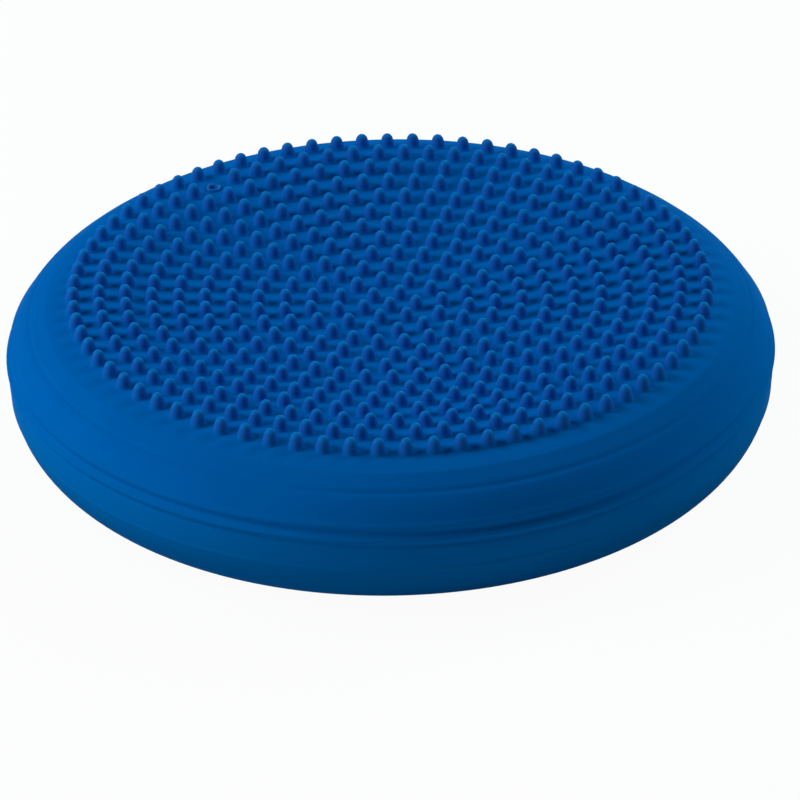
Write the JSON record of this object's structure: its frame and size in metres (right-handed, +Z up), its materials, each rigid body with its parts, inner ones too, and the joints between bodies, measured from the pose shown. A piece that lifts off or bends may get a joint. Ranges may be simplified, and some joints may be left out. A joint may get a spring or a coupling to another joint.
{
  "type": "balance cushion",
  "caption": "Round air-filled balance cushion with a dished top covered in rounded knobs, a parting bead round its flank and a needle valve among the knobs.",
  "frame": {"origin": "centre of the flat underside, on the floor", "axes": "+Z up along the disc's axis; the picture looks along +Y from above, with +X to the right; the valve is at 128.4 degrees from +X towards +Y"},
  "size_m": [0.3302, 0.3302, 0.0725],
  "materials": {
    "soft_pvc": "satin moulded soft PVC",
    "gloss_pvc": "glossy moulded PVC",
    "valve_rubber": "dull dark rubber"
  },
  "bodies": {
    "root": {"cushion_shell": "soft_pvc", "valve_seat": "gloss_pvc", "valve_core": "valve_rubber"}
  },
  "joints": []
}
